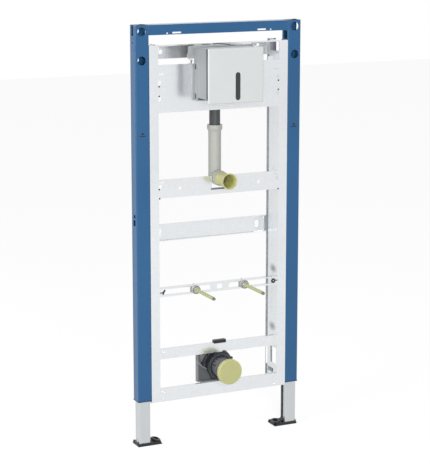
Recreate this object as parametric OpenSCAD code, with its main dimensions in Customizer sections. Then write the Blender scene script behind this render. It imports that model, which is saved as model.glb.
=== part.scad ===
// Installation frame for a wall-hung urinal: painted outer frame, zinc inner frame, flush box,
// flush pipe with its elbow, fixing rods, drain connector and two telescopic feet.
// Units are millimetres. X runs to the right, Y away from the viewer, Z up.
// The origin lies on the rear flat face of the rear top bar, where the frame is fixed to the wall.

/* [Node] */
// which piece to draw

/* [Overall] */
// width over the two painted uprights
frame_w = 500; // [480:5:560]
// depth from the front plane to the wall plane
frame_d = 75; // [72:1:90]
// top of the painted frame above the floor
top_z = 1176.5; // [1160:0.5:1240]
// how far the feet are drawn out below the painted uprights
foot_out = 130; // [60:1:190]

/* [Painted uprights and rail] */
// width of an upright seen from the front
post_w = 40.5; // [38:0.5:44]
// depth of an upright
post_d = 36.5; // [34:0.5:42]
// wall thickness of uprights and rail
post_t = 1.8; // [1.5:0.1:2.4]
// outer corner radius of the uprights
post_r = 3; // [2:0.5:5]
// height of the top rail
rail_h = 27.5; // [25:0.5:34]
// diameter of the round fixing holes
fix_hole_d = 24; // [16:1:26]
// upper fixing hole below the top
fix_hole_a = 17.7; // [15:0.1:24]
// lower fixing hole below the top
fix_hole_b = 94.9; // [80:0.1:120]
// diameter of the bolt holes in the rear wall behind them
back_hole_d = 14; // [10:1:16]
// side slots halfway up, below the top
side_slot_drop = 515.5; // [480:0.5:560]
// level mark below the top
level_drop = 297.5; // [270:0.5:340]
// distance of the rail slots from the uprights
rail_slot_in = 81.5; // [70:0.5:110]

/* [Zinc inner frame] */
// front width of an inner upright
inner_w = 26.5; // [22:0.5:32]
// sheet thickness of the inner frame
sheet = 1.8; // [1.5:0.1:2.2]
// top of the inner frame below the top of the painted frame
inner_drop = 54.7; // [50:0.1:80]
// bottom of the inner frame below the bottom of the painted uprights
inner_low = 6.2; // [3:0.1:12]
// depth of the web before the rear groove
web_d = 60; // [54:1:62]
// depth of the groove behind the web, measured sideways
groove_w = 13; // [8:1:16]

/* [Control plate] */
// height of the control plate
plate_h = 183.3; // [170:0.1:200]
// height of the two upper windows with the rim
window_h = 53.2; // [40:0.1:60]
// half distance between the windows
window_x = 97; // [92:1:120]
// rim above the windows
window_rim = 3.3; // [3:0.1:8]
// height of the rear top bar
strip_h = 36; // [30:1:40]
// rear top bar above the sill of the windows
strip_rise = 8.7; // [6:0.1:12]
// top of the rear traverse below the top of the painted frame
trav_drop = 559.9; // [540:0.1:600]
// height of the rear traverse
trav_h = 48.2; // [44:0.1:54]
// height of the plate that carries the flush bend
bend_plate_h = 52; // [50:1:60]

/* [Control box] */
// width of the cover
cover_w = 165; // [150:1:180]
// height of the cover
cover_h = 149.2; // [140:0.1:160]
// cover front ahead of the front plane
cover_y = 103; // [80:1:120]
// thickness of the cover
cover_t = 4; // [4:0.5:8]
// top of the cover below the top of the inner frame
cover_drop = 4.8; // [4:0.1:10]
// box side inside the cover edge
box_inset = 5; // [4:0.5:8]
// wall thickness of the box
box_t = 2.5; // [2:0.5:4]
// length of the rear collar ahead of the front plane
collar_y = 20; // [17:1:30]
// how far the collar reaches below the box
collar_low = 8; // [4:0.5:9]
// front of the light frame ahead of the front plane
seal_y = 80; // [60:1:90]
// width of the housing behind the control plate
housing_w = 88; // [70:1:110]
// width of the sensor window
sensor_w = 14; // [10:0.5:18]
// height of the sensor window
sensor_h = 75; // [60:1:80]
// sideways place of the sensor window
sensor_x = 5.5; // [-6:0.5:8]
// middle of the sensor window above the lower edge of the cover
sensor_rise = 45.5; // [44:0.5:80]

/* [Flush pipe] */
// inlet below the top of the painted frame
inlet_drop = 429; // [410:0.5:450]
// height of the grey flush pipe from the inlet to its collar
flush_h = 135; // [120:1:150]
// outer diameter of the grey flush pipe
pipe_d = 35.6; // [34:0.2:38]
// wall thickness of the flush pipe
pipe_t = 2.2; // [1.8:0.1:2.2]
// depth of the pipe axis behind the front plane
pipe_y = 33; // [30:1:36]
// length of the socket of the bend
socket_l = 22; // [20:0.5:26]
// outer diameter of the socket of the bend
socket_d = 43; // [42:0.5:46]
// sleeve front ahead of the front plane
sleeve_y = 64; // [50:1:90]
// outer diameter of the inlet sleeve
sleeve_d = 39; // [37:0.5:39]

/* [Fixing rods] */
// rods below the top of the painted frame
rod_drop = 738.7; // [715:0.1:760]
// distance between the rods
rod_gap = 150.4; // [140:0.2:200]
// diameter of the rods
rod_d = 8; // [6:1:12]
// rod tip ahead of the front plane
rod_y = 125; // [90:1:150]
// bare rod tip ahead of its sleeve
rod_tip = 6; // [5:0.5:10]
// length of nut and washer ahead of the rail
nut_l = 14; // [12:0.5:18]
// height of the slotted rod rail
rod_rail_h = 23.6; // [22:0.2:27]
// depth of the slotted rod rail
rod_rail_d = 20; // [18:1:26]

/* [Drain] */
// height of the drain axis above the floor
drain_z = 206.5; // [195:0.5:220]
// outer diameter of the drain neck
neck_d = 54; // [50:1:56]
// drain cap front ahead of the front plane
cap_y = 71; // [60:1:100]
// diameter of the drain cap
cap_d = 72; // [66:1:76]
// outer diameter of the clamp ring
ring_d = 74; // [70:1:76]
// outer diameter of the collar behind the clamp ring
collar_d = 90; // [86:1:92]
// width of the drain bracket
bracket_w = 124; // [118:1:130]
// thickness of the drain bracket
saddle_d = 21.5; // [18:0.5:24]
// front end of the neck ribs ahead of the front plane
rib_y = 36; // [28:1:40]
// height of the upper drain bar
up_bar_h = 29.2; // [26:0.1:34]
// height of the lower drain bar
low_bar_h = 38; // [34:0.5:40]
// underside of the upper drain bar above the drain axis
up_bar_rise = 40.8; // [40:0.1:50]

/* [Feet] */
// width of a foot tube
tube_w = 34; // [32:0.5:34.5]
// depth of a foot tube
tube_d = 29; // [27:0.5:30.5]
// wall thickness of a foot tube
tube_t = 2.5; // [2:0.1:3]
// length of tube inside the upright
tube_in = 200; // [180:5:240]
// height of the brake sleeve in the upright
brake_h = 32; // [24:1:40]
// length of a foot plate
foot_l = 72; // [68:1:80]
// depth of a foot plate
foot_d = 46; // [42:1:52]
// thickness of a foot plate
foot_t = 8; // [6:0.5:10]
// diameter of the floor bolt hole
foot_hole_d = 11; // [9:0.5:12]

/* [Hidden] */
half_w = frame_w / 2;
post_z = foot_out;
post_h = top_z - post_z;
post_x = half_w - post_w;
web_x = post_x - inner_w;
inner_top = top_z - inner_drop;
inner_bot = post_z - inner_low;
inner_h = inner_top - inner_bot;
plate_bot = inner_top - plate_h;
sill_z = inner_top - window_h;
bar_l = 2 * web_x;
strip_z = sill_z + strip_rise;
mount_z = strip_z + strip_h / 2;
cover_top = inner_top - cover_drop;
cover_bot = cover_top - cover_h;
box_w = cover_w - 2 * box_inset;
box_top = cover_top - 3.6;
box_bot = cover_bot + 8.6;
box_h = box_top - box_bot;
box_back = frame_d - 13;
collar_bot = box_bot - collar_low;
notch_bot = sill_z - 2;
ear_bot = sill_z + 15;
ear_top = cover_top - 7;
ear_x = window_x - 0.6;
hole_x = post_x + post_w / 2 + 1;
rail_slot_x = post_x - rail_slot_in;
inlet_z = top_z - inlet_drop;
trav_z = top_z - trav_drop - trav_h;
rod_z = top_z - rod_drop;
bore_d = pipe_d - 2 * pipe_t;
collar_z = inlet_z + flush_h;
slot_h = rod_rail_h * 0.68;
core_d = rod_d - 1;
rod_x = rod_gap / 2;
rod_rail_z = rod_z - rod_rail_h * 0.51;
tube_x = half_w - post_w / 2;
tube_y = post_d / 2;
foot_x = half_w - foot_l + 0.5;
bend_z = inlet_z - bend_plate_h * 0.85;
notch_w = socket_d + 4;
notch_z = inlet_z - socket_d / 2 - 6.5;
socket_back = socket_l - 7;
sleeve_back = socket_back - 8;
up_bar_z = drain_z + up_bar_rise;
up_bar_top = up_bar_z + up_bar_h;
low_bar_top = inner_bot + low_bar_h;
bar_d = 10;
gap = 0.3;

// puts a piece drawn from the floor and the front plane on the wall origin
module placed() {
    translate([0, -frame_d, -mount_z])
        children();
}

// rectangle with round corners, lower left corner at the origin
module round_rect(w, h, r) {
    translate([r, 0])
        square([w - 2 * r, h]);
    translate([0, r])
        square([w, h - 2 * r]);
    for (x = [r, w - r])
        for (y = [r, h - r])
            translate([x, y])
                circle(r = r, $fn = 32);
}

// flat slot with round ends along X, centred, for cutting sheet in the XZ plane
module front_slot(l, h, depth) {
    rotate([90, 0, 0])
        translate([0, 0, -depth / 2])
            linear_extrude(depth) {
                square([l - h, h], center = true);
                for (s = [-1, 1])
                    translate([s * (l - h) / 2, 0])
                        circle(d = h, $fn = 32);
            }
}

// cylinder along Y from front to back
module along_y(d, y0, y1, n = 64) {
    translate([0, y1, 0])
        rotate([90, 0, 0])
            cylinder(d = d, h = y1 - y0, $fn = n);
}

// painted upright on the right side
module upright() {
    side_slot = top_z - side_slot_drop;
    difference() {
        translate([post_x, 0, post_z])
            linear_extrude(post_h)
                difference() {
                    round_rect(post_w, post_d, post_r);
                    translate([post_t, post_t])
                        round_rect(post_w - 2 * post_t, post_d - 2 * post_t, post_r - post_t);
                }
        // wide holes in front, bolt holes behind them
        for (z = [top_z - fix_hole_a, top_z - fix_hole_b])
            translate([hole_x, 0, z]) {
                along_y(fix_hole_d, -1, post_t + 1);
                along_y(back_hole_d, post_t, post_d + 1, 48);
            }
        // slot through both sides at the top
        translate([post_x - 1, 12, top_z - rail_h - 2])
            cube([post_w + 2, 14, rail_h + 3]);
        // round holes under the slot in the outer side
        for (p = [[14, top_z - 36, 4], [18.5, top_z - 48, 6], [13, top_z - 68.5, 4]])
            translate([half_w - post_t - 1, p[0], p[1]])
                rotate([0, 90, 0])
                    cylinder(d = p[2], h = post_t + 2, $fn = 24);
        // slot and window halfway up the outer side
        translate([half_w - post_t - 1, 9, side_slot - 9.5])
            cube([post_t + 2, 12, 9.5]);
        translate([half_w - post_t - 1, 9, side_slot - 31])
            cube([post_t + 2, 14, 17]);
        // opening in the inner side between rail and inner frame
        translate([post_x - 1, 0, 0])
            rotate([90, 0, 90])
                linear_extrude(post_t + 2)
                    translate([5, inner_top + 1.5])
                        round_rect(23, inner_drop - rail_h - 3, 7);
        // level mark, a dot over a line
        translate([hole_x, 0, top_z - level_drop + 6])
            along_y(4, -1, post_t + 1, 24);
        translate([hole_x - 8, -1, top_z - level_drop - 0.8])
            cube([15, 1.6, 1.6]);
    }
}

module upright_left() {
    color([0.16, 0.36, 0.56])
        placed()
            mirror([1, 0, 0])
                upright();
}

module upright_right() {
    color([0.16, 0.36, 0.56])
        placed()
            upright();
}

// plastic plug in the open top of an upright, with a round lug over the fixing hole
module top_plug() {
    translate([post_x + post_t, post_t, top_z - 5])
        linear_extrude(5)
            round_rect(post_w - 2 * post_t, post_d - 2 * post_t, post_r - post_t);
    translate([hole_x, post_t + 4, top_z - fix_hole_a])
        rotate([90, 0, 0])
            linear_extrude(4)
                intersection() {
                    circle(r = fix_hole_a + 3, $fn = 96);
                    translate([-13, fix_hole_a - 4])
                        square([26, 10]);
                }
}

module top_plug_left() {
    color([0.05, 0.06, 0.10])
        placed()
            mirror([1, 0, 0])
                top_plug();
}

module top_plug_right() {
    color([0.05, 0.06, 0.10])
        placed()
            top_plug();
}

module top_rail() {
    rail_z = top_z - rail_h;
    color([0.16, 0.36, 0.56])
        placed()
            difference() {
                translate([-post_x, 0, rail_z])
                    cube([2 * post_x, post_d, rail_h]);
                translate([-post_x - 1, post_t, rail_z + post_t])
                    cube([2 * post_x + 2, post_d, rail_h - 2 * post_t]);
                for (s = [-1, 1]) {
                    translate([s * rail_slot_x, 0, rail_z + 4.8])
                        front_slot(27, 4.4, 10);
                    translate([s * (rail_slot_x + 28), 0, rail_z + 3.6])
                        along_y(5, -1, 10, 24);
                    translate([s * (rail_slot_x + 8) - 42, 5, rail_z - 1])
                        cube([84, post_d, post_t + 2]);
                }
            }
}

// zinc inner upright on the right side, bent from one sheet
module inner_upright() {
    difference() {
        translate([web_x, 0, inner_bot])
            linear_extrude(inner_h)
                difference() {
                    square([inner_w, frame_d]);
                    translate([sheet, sheet])
                        square([inner_w - 2 * sheet, web_d - 2 * sheet]);
                    translate([groove_w + sheet, sheet])
                        square([inner_w - groove_w - 2 * sheet, frame_d - 2 * sheet]);
                    translate([-1, web_d])
                        square([groove_w + 1, frame_d - sheet - web_d]);
                    translate([inner_w - sheet - 1, post_d])
                        square([sheet + 2, frame_d - sheet - post_d]);
                }
        // window in the web beside the control plate
        translate([web_x - 1, 4, inner_top - 30])
            cube([sheet + 2, 38, 26]);
        // windows in the web beside the drain
        translate([web_x - 1, 6, drain_z - 20])
            cube([sheet + 2, 35, 48]);
        translate([web_x - 1, 24, low_bar_top - 5])
            cube([sheet + 2, 32, 13]);
        translate([web_x + sheet, frame_d - sheet - 1, drain_z - 35])
            cube([inner_w, sheet + 2, 66]);
        // long bead in the web
        translate([web_x - 1, 33, up_bar_top + 60])
            cube([1.5, 3, plate_bot - up_bar_top - 120]);
        // bolt holes in the rear flange
        for (z = [inner_top - 70, inner_bot + 230])
            translate([web_x + inner_w / 2, 0, z])
                along_y(9, frame_d - 4, frame_d + 1, 32);
    }
}

module inner_upright_left() {
    color([0.86, 0.87, 0.88])
        placed()
            mirror([1, 0, 0])
                inner_upright();
}

module inner_upright_right() {
    color([0.86, 0.87, 0.88])
        placed()
            inner_upright();
}

// bar with short flanges along its upper and lower edge
module flanged_bar(z, h, d) {
    difference() {
        translate([-web_x, 0, z])
            cube([bar_l, d, h]);
        translate([-web_x - 1, sheet, z + sheet])
            cube([bar_l + 2, d, h - 2 * sheet]);
    }
}

module control_plate() {
    tab_x = web_x - 35;
    color([0.86, 0.87, 0.88])
        placed()
            difference() {
                flanged_bar(plate_bot, plate_h, 7);
                // window on the left, with a rounded notch toward the box
                translate([-web_x - 1, -1, sill_z])
                    cube([web_x + 1 - window_x, 9, window_h - window_rim]);
                translate([9 - window_x, 0, sill_z + 6.7])
                    front_slot(34, 13, 20);
                // window on the right, round a small tab
                difference() {
                    translate([window_x, -1, sill_z])
                        cube([web_x + 1 - window_x, 9, window_h - window_rim]);
                    translate([tab_x, -2, sill_z - 2])
                        cube([15, sheet + 2, 12]);
                }
                // opening round the box
                translate([-housing_w / 2, -1, box_bot])
                    cube([housing_w, 12, box_h]);
                // holes cut by the edge of the inner uprights
                for (s = [-1, 1]) {
                    for (z = [82, 38])
                        translate([s * (web_x - 3), 0, plate_bot + z])
                            along_y(13, -1, 3, 32);
                    translate([s * (web_x - 9), 0, plate_bot + 104.8])
                        front_slot(17, 3.4, 10);
                }
            }
}

module rear_top_bar() {
    color([0.80, 0.81, 0.82])
        placed()
            difference() {
                translate([-web_x, frame_d - sheet, strip_z])
                    cube([bar_l, sheet, strip_h]);
                for (s = [-1, 1]) {
                    translate([s * (web_x - 38), 0, strip_z + 19])
                        along_y(12, frame_d - 4, frame_d + 1, 32);
                    translate([s * (web_x - 30), 0, strip_z + 27.5])
                        along_y(9, frame_d - 4, frame_d + 1, 32);
                }
            }
}

module bend_plate() {
    color([0.86, 0.87, 0.88])
        placed()
            difference() {
                flanged_bar(bend_z, bend_plate_h, 6);
                // notch round the flush bend, open to the top
                translate([0, 12, 0])
                    rotate([90, 0, 0])
                        linear_extrude(13)
                            translate([-notch_w / 2, notch_z])
                                round_rect(notch_w, bend_plate_h, 4);
                for (s = [-1, 1]) {
                    translate([s * (web_x - 62.7), 0, bend_z + 25])
                        along_y(9, -1, 4, 32);
                    translate([s * (web_x - 4), 0, bend_z + 32])
                        along_y(12, -1, 4, 32);
                    translate([s * (web_x - 9), 0, bend_z + 44])
                        front_slot(15, 3, 10);
                }
            }
}

module rear_traverse() {
    color([0.80, 0.81, 0.82])
        placed()
            difference() {
                translate([-web_x, frame_d - sheet - 6, trav_z])
                    cube([bar_l, sheet + 6, trav_h]);
                translate([-web_x - 1, frame_d - sheet - 7, trav_z + sheet])
                    cube([bar_l + 2, 7, trav_h - 2 * sheet]);
                for (s = [-1, 1])
                    translate([s * (web_x - 31), frame_d, trav_z + trav_h / 2])
                        rotate([0, 90, 0])
                            front_slot(22, 12.5, 12);
            }
}

// rail with long slots for the fixing rods
module rod_rail() {
    slot_l = web_x - 31.5;
    color([0.86, 0.87, 0.88])
        placed()
            difference() {
                flanged_bar(rod_rail_z, rod_rail_h, rod_rail_d);
                for (s = [-1, 1])
                    translate([s * (web_x - 3 - slot_l / 2), 0, rod_z + 1])
                        front_slot(slot_l, slot_h, 10);
                translate([0, 0, rod_z + 1])
                    front_slot(18, slot_h, 10);
                for (s = [-1, 1])
                    translate([s * rod_x, 14, rod_rail_z + rod_rail_h - 3])
                        cylinder(d = 3.6, h = 6, $fn = 24);
            }
}

module drain_bar_upper() {
    color([0.86, 0.87, 0.88])
        placed()
            flanged_bar(up_bar_z, up_bar_h, bar_d);
}

module drain_bar_lower() {
    color([0.86, 0.87, 0.88])
        placed()
            flanged_bar(inner_bot, low_bar_h, bar_d);
}

module control_box() {
    color([0.80, 0.81, 0.82])
        placed()
            difference() {
                union() {
                    // collar in front of the control plate
                    translate([-box_w / 2, -collar_y, collar_bot])
                        cube([box_w, collar_y, box_top - collar_bot]);
                    // flange on the plate below the windows
                    translate([-box_w / 2 - 5, -2, collar_bot])
                        cube([box_w + 10, 2, notch_bot - collar_bot]);
                    // ears on the plate between the windows
                    rotate([90, 0, 0])
                        linear_extrude(2)
                            translate([-ear_x, ear_bot])
                                round_rect(2 * ear_x, ear_top - ear_bot, 6);
                    // housing behind the plate
                    translate([-housing_w / 2, -1, box_bot])
                        cube([housing_w, 1 + box_back, box_h]);
                }
                translate([-box_w / 2 + box_t, -collar_y - 1, collar_bot + box_t])
                    cube([box_w - 2 * box_t, collar_y - 1, box_top - collar_bot - 2 * box_t]);
                translate([-housing_w / 2 + box_t, -3, box_bot + box_t])
                    cube([housing_w - 2 * box_t, 3 + box_back - box_t, box_h - 2 * box_t]);
                // snap slots in both sides
                for (s = [-1, 1])
                    for (z = [5, 85])
                        translate([s * (box_w / 2 - 1) - 3, -14, collar_bot + z])
                            cube([6, 11, 14]);
                // pipe and cable openings in the top
                translate([20, box_back / 2, box_top - 4])
                    cylinder(d = 24, h = 6, $fn = 48);
                translate([-24, box_back / 2, box_top - 4])
                    cylinder(d = 16, h = 6, $fn = 48);
            }
}

// light frame between the collar of the box and the cover seal
module protection_box() {
    w = box_w - 2;
    h = box_h - 2;
    l = seal_y - collar_y;
    color([0.78, 0.79, 0.81])
        placed()
            difference() {
                translate([-w / 2, -collar_y - l, box_bot + 1])
                    cube([w, l, h]);
                translate([-w / 2 + box_t, -collar_y - l - 1, box_bot + 1 + box_t])
                    cube([w - 2 * box_t, l + 2, h - 2 * box_t]);
            }
}

// dark seal frame behind the cover
module cover_seal() {
    l = cover_y - cover_t - seal_y;
    color([0.12, 0.16, 0.22])
        placed()
            difference() {
                translate([-box_w / 2, -seal_y - l, box_bot])
                    cube([box_w, l, box_h]);
                translate([-box_w / 2 + box_t + 1, -seal_y - l - 1, box_bot + box_t + 1])
                    cube([box_w - 2 * box_t - 2, l + 2, box_h - 2 * box_t - 2]);
            }
}

// cover plate, its front edges rounded on all four sides
module box_cover() {
    color([0.88, 0.88, 0.88])
        placed()
            difference() {
                intersection() {
                    translate([0, cover_t - cover_y, 0])
                        rotate([90, 0, 0])
                            linear_extrude(cover_t)
                                translate([-cover_w / 2, cover_bot])
                                    round_rect(cover_w, cover_h, 4);
                    translate([-cover_w / 2, -cover_y, cover_bot - 1])
                        linear_extrude(cover_h + 2)
                            round_rect(cover_w, 2 * cover_t, 3.5);
                    translate([-cover_w / 2 - 1, cover_t - cover_y + cover_t, cover_bot])
                        rotate([90, 0, 90])
                            linear_extrude(cover_w + 2)
                                translate([-2 * cover_t, 0])
                                    round_rect(3 * cover_t, cover_h, 3.5);
                }
                translate([sensor_x, cover_t / 2 - cover_y, cover_bot + sensor_rise])
                    rotate([0, 90, 0])
                        front_slot(sensor_h + 2 * gap, sensor_w + 2 * gap, cover_t + 2);
            }
}

module sensor_window() {
    color([0.10, 0.11, 0.12])
        placed()
            translate([sensor_x, cover_t / 2 + 0.2 - cover_y, cover_bot + sensor_rise])
                rotate([0, 90, 0])
                    front_slot(sensor_h, sensor_w, cover_t - 0.4);
}

module flush_outlet() {
    od = bore_d - 2 * gap;
    out_z = collar_z + 5;
    color([0.16, 0.17, 0.17])
        placed()
            translate([0, pipe_y, out_z])
                difference() {
                    cylinder(d = od, h = box_bot - out_z, $fn = 64);
                    translate([0, 0, -1])
                        cylinder(d = od - 5, h = box_bot - out_z + 2, $fn = 64);
                }
}

// elbow of two pipes that meet in a round heel
module elbow(d) {
    translate([0, pipe_y, inlet_z])
        cylinder(d = d, h = collar_z - inlet_z, $fn = 64);
    translate([0, pipe_y, inlet_z])
        sphere(d = d, $fn = 64);
    translate([0, 0, inlet_z])
        along_y(d, 0, pipe_y);
}

module flush_pipe() {
    color([0.74, 0.74, 0.71])
        placed()
            difference() {
                union() {
                    elbow(pipe_d);
                    // funnel and collar round the outlet
                    translate([0, pipe_y, collar_z - 8])
                        cylinder(d1 = pipe_d, d2 = pipe_d + 7.2, h = 8, $fn = 64);
                    translate([0, pipe_y, collar_z])
                        cylinder(d = pipe_d + 7.2, h = 10.6, $fn = 64);
                    // socket for the sleeve
                    translate([0, 0, inlet_z])
                        along_y(socket_d, -7, socket_back);
                }
                elbow(bore_d);
                translate([0, pipe_y, collar_z - 1])
                    cylinder(d = bore_d, h = 14, $fn = 64);
                translate([0, 0, inlet_z])
                    along_y(sleeve_d, -8, sleeve_back);
            }
}

// yellow sleeve in the socket, its mouth flared
module inlet_sleeve() {
    od = sleeve_d - 2 * gap;
    bore = sleeve_d - 3.6;
    lip_y = 2 - sleeve_y;
    color([0.75, 0.76, 0.55])
        placed()
            translate([0, 0, inlet_z])
                difference() {
                    union() {
                        along_y(od, lip_y, sleeve_back);
                        along_y(sleeve_d + 6, -sleeve_y, lip_y);
                        translate([0, lip_y + 8, 0])
                            rotate([90, 0, 0])
                                cylinder(d1 = od, d2 = sleeve_d + 6, h = 8, $fn = 64);
                    }
                    along_y(bore, -sleeve_y + 9, sleeve_back + 1);
                    translate([0, 10 - sleeve_y, 0])
                        rotate([90, 0, 0])
                            cylinder(d1 = bore, d2 = sleeve_d + 1.2, h = 10, $fn = 64);
                    along_y(sleeve_d + 1.2, -sleeve_y - 1, -sleeve_y, 64);
                }
}

// edge strip in the notch of the bend plate
module bend_clip() {
    strip_w = notch_w - 10;
    color([0.44, 0.45, 0.46])
        placed()
            difference() {
                union() {
                    // front strip
                    translate([-notch_w / 2 - 3, -1.5, notch_z - 3])
                        cube([notch_w + 6, 1.5, 4.4]);
                    // edge and rear lip
                    translate([-strip_w / 2, -1.5, notch_z - 3])
                        cube([strip_w, 5, 4.4]);
                }
                translate([-notch_w, 0, notch_z - 4])
                    cube([2 * notch_w, sheet, 4]);
            }
}

// threaded plate behind the rail, with a pin that passes up through the rail
module rod_anchor() {
    translate([rod_x - 13, sheet, rod_z - 8])
        difference() {
            union() {
                cube([26, 6, 16]);
                translate([8, 5, 12.5])
                    cube([10, 9, 3.5]);
                translate([13, 12.2, 15])
                    cylinder(d = 3, h = 7.7, $fn = 24);
            }
            translate([13, 0, 8])
                along_y(core_d + gap, -1, 20, 48);
        }
}

module rod_anchor_left() {
    color([0.70, 0.71, 0.72])
        placed()
            mirror([1, 0, 0])
                rod_anchor();
}

module rod_anchor_right() {
    color([0.70, 0.71, 0.72])
        placed()
            rod_anchor();
}

// washer and round nut in front of the rail
module rod_nut() {
    translate([rod_x, 0, rod_z])
        difference() {
            union() {
                along_y(25, -2.4, 0);
                along_y(22, 4 - nut_l, -2.4);
                along_y(16, -nut_l, 4 - nut_l, 6);
            }
            along_y(core_d + gap, -20, 10, 48);
            // turning slots
            for (a = [0 : 60 : 300])
                rotate([0, a, 0])
                    translate([-1.2, 3 - nut_l, 9.4])
                        cube([2.4, 6, 4]);
        }
}

module rod_nut_left() {
    color([0.66, 0.66, 0.70])
        placed()
            mirror([1, 0, 0])
                rod_nut();
}

module rod_nut_right() {
    color([0.66, 0.66, 0.70])
        placed()
            rod_nut();
}

module fixing_rod() {
    tip_y = rod_tip - 1 - rod_y;
    translate([rod_x, 0, rod_z]) {
        along_y(rod_d, -rod_y, tip_y, 48);
        along_y(core_d, tip_y, 12, 48);
    }
}

module rod_left() {
    color([0.62, 0.63, 0.64])
        placed()
            mirror([1, 0, 0])
                fixing_rod();
}

module rod_right() {
    color([0.62, 0.63, 0.64])
        placed()
            fixing_rod();
}

module rod_sleeve() {
    translate([rod_x, 0, rod_z])
        difference() {
            union() {
                along_y(rod_d + 2, rod_tip - rod_y, -nut_l, 48);
                along_y(12, -nut_l - 3, -nut_l, 48);
            }
            along_y(core_d + gap, -rod_y, -5, 48);
        }
}

module rod_sleeve_left() {
    color([0.75, 0.76, 0.55])
        placed()
            mirror([1, 0, 0])
                rod_sleeve();
}

module rod_sleeve_right() {
    color([0.75, 0.76, 0.55])
        placed()
            rod_sleeve();
}

// black pin with a round head on the web of the inner upright
module rail_clip() {
    translate([web_x, 4.5, rod_z - 1])
        rotate([0, -90, 0]) {
            cylinder(d = 4, h = 20, $fn = 24);
            translate([0, 0, 11])
                cylinder(d = 11, h = 3, $fn = 32);
        }
}

module rail_clip_left() {
    color([0.05, 0.05, 0.06])
        placed()
            mirror([1, 0, 0])
                rail_clip();
}

module rail_clip_right() {
    color([0.05, 0.05, 0.06])
        placed()
            rail_clip();
}

// dished recess beside the clamp ring, its lower corner a cone
module saddle_dish(y0, y1) {
    x0 = bracket_w / 2;
    dish_r = 32;
    slope = 0.85 * (y1 - y0);
    corner_z = drain_z + 0.6 * up_bar_rise;
    high = 1.5 * up_bar_rise;
    translate([dish_r - x0, y1, corner_z])
        rotate([90, 0, 0])
            cylinder(r1 = dish_r - slope, r2 = dish_r, h = y1 - y0, $fn = 96);
    translate([0, 0, corner_z])
        linear_extrude(high)
            polygon([[-x0, y0], [slope - x0, y1], [0, y1], [0, y0]]);
    translate([dish_r - x0, 0, 0])
        rotate([90, 0, 90])
            linear_extrude(x0 - dish_r + 1)
                polygon([[y0, corner_z - dish_r], [y1, corner_z - dish_r + slope],
                    [y1, corner_z + high], [y0, corner_z + high]]);
}

// moulded saddle between the two drain bars
module drain_bracket() {
    z0 = low_bar_top;
    z1 = up_bar_z + 0.48 * up_bar_h;
    y0 = bar_d + 2.5;
    y1 = y0 + saddle_d;
    hw = bracket_w / 2;
    color([0.20, 0.21, 0.22])
        placed()
            difference() {
                union() {
                    difference() {
                        translate([-hw, y0, z0])
                            linear_extrude(z1 - z0)
                                round_rect(bracket_w, y1 - y0, 6);
                        for (s = [0, 1])
                            mirror([s, 0, 0])
                                saddle_dish(y0 - 0.01, y1 - 6);
                        // upright pockets in the lower front
                        for (s = [-1, 1])
                            translate([s * (hw - 13) - 3.5, y0 - 1, z0 + 6])
                                cube([7, 9, 32]);
                    }
                    // foot strip on the lower bar
                    translate([6 - hw, 2, z0])
                        cube([bracket_w - 12, y0 - 1, 3.7]);
                    // hook inside the upper bar
                    translate([6 - hw, sheet, up_bar_z + 5])
                        cube([12, y1 - sheet - 2, 6]);
                }
                // the right arm is low
                translate([20, y0 - 1, drain_z + 6])
                    rotate([0, 12, 0])
                        cube([bracket_w, y1, z1 - z0]);
                translate([0, 0, drain_z])
                    along_y(collar_d + 2, y0, y0 + 9.5, 96);
                translate([0, 0, drain_z])
                    along_y(ring_d + 2, 1, y0 + 1, 96);
                translate([0, 0, drain_z])
                    along_y(neck_d + 2 * gap, 0, y1 + 1);
                // open gap under the ring
                translate([-20, 1, z0 + 3.7])
                    cube([40, y1, 20]);
            }
}

// black clip over the upper bar
module drain_clip() {
    color([0.13, 0.13, 0.14])
        placed()
            difference() {
                translate([-18.5, -3, up_bar_top - 2])
                    cube([37, 13, 9]);
                translate([-20, 0, up_bar_top - 3])
                    cube([40, 14, 3]);
                translate([-20, -4, up_bar_top + 2.6])
                    cube([40, 2, 1.4]);
            }
}

// straight drain connector with a ribbed neck
module drain_connector() {
    color([0.22, 0.23, 0.24])
        placed()
            translate([0, 0, drain_z])
                difference() {
                    union() {
                        along_y(neck_d, 12 - cap_y, frame_d - 13);
                        along_y(neck_d + 3, -rib_y - 2, 1 - rib_y);
                        // ribs along the neck
                        for (a = [0 : 20 : 340])
                            rotate([0, a, 0])
                                translate([-1.5, -rib_y, neck_d / 2 - 2])
                                    cube([3, rib_y - 8, 3.5]);
                        along_y(neck_d + 6, 36, frame_d - 13);
                    }
                    along_y(neck_d - 6, -cap_y, 40);
                    along_y(neck_d, 38, frame_d - 12);
                    // snap window
                    rotate([0, -68, 0])
                        translate([-3, 6 - rib_y, neck_d / 2 - 2])
                            cube([6, 5, 6]);
                }
}

// two-part clamp ring with lugs
module drain_ring() {
    color([0.14, 0.15, 0.16])
        placed()
            translate([0, 0, drain_z])
                difference() {
                    union() {
                        along_y(ring_d, -6, 8, 96);
                        along_y(ring_d - 6, -8, -6, 96);
                        along_y(collar_d, bar_d + 3, bar_d + 10, 96);
                        along_y(ring_d - 4, 8, bar_d + 4, 96);
                        // lugs over the top
                        for (x = [-20, 11])
                            translate([x, -6, ring_d / 2 - 8])
                                cube([8, 5.5, 14]);
                        translate([-12, -5, ring_d / 2 - 4])
                            cube([24, 4, 7]);
                        // ears beside the collar
                        for (a = [-78, 72])
                            rotate([0, a, 0])
                                translate([-3, bar_d + 3, collar_d / 2 - 4])
                                    cube([6, 6, 9]);
                    }
                    along_y(neck_d + 5, -9, -7, 96);
                    along_y(neck_d + 2 * gap, -9, bar_d + 20);
                    along_y(ring_d - 8, -9, -4, 96);
                }
}

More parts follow.
